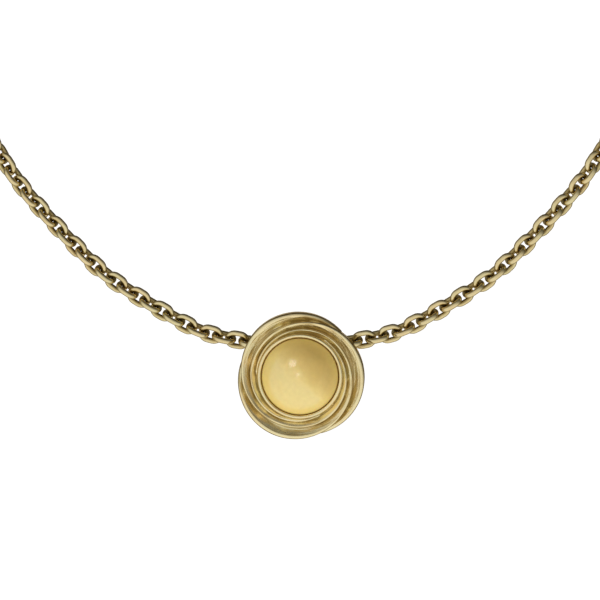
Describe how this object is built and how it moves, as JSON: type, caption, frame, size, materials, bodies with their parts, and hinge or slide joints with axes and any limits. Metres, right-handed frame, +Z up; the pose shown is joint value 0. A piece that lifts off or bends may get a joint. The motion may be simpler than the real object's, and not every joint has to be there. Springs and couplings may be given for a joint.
{
  "type": "amber pendant necklace",
  "caption": "Round amber cabochon in a gold spiral-rim pendant, hung by two rings from a heavy oval-link chain that closes in a loop behind the neck.",
  "frame": {"origin": "the point at the back of the neck where the clasp rests, on the neck side of the clasp's middle", "axes": "+X to the wearer's left, -Y the way the stone faces, +Z up"},
  "size_m": [0.1722, 0.0956, 0.1256],
  "materials": {
    "gold": "pale yellow gold, softly polished, with darker antique colour in the hollows",
    "amber": "polished butterscotch amber, cloudy from pale yellow to ochre"
  },
  "bodies": {
    "chain": {"chain_left": "gold", "chain_right": "gold", "clasp": "gold"},
    "pendant": {"swirl_frame": "gold", "amber_stone": "amber"}
  },
  "joints": [
    {"name": "pendant_swing", "type": "hinge", "parent": "chain", "child": "pendant", "pos_m": [0, -0.0812, -0.10064], "axis": [1, 0, 0], "range_deg": [-30, 30]}
  ]
}
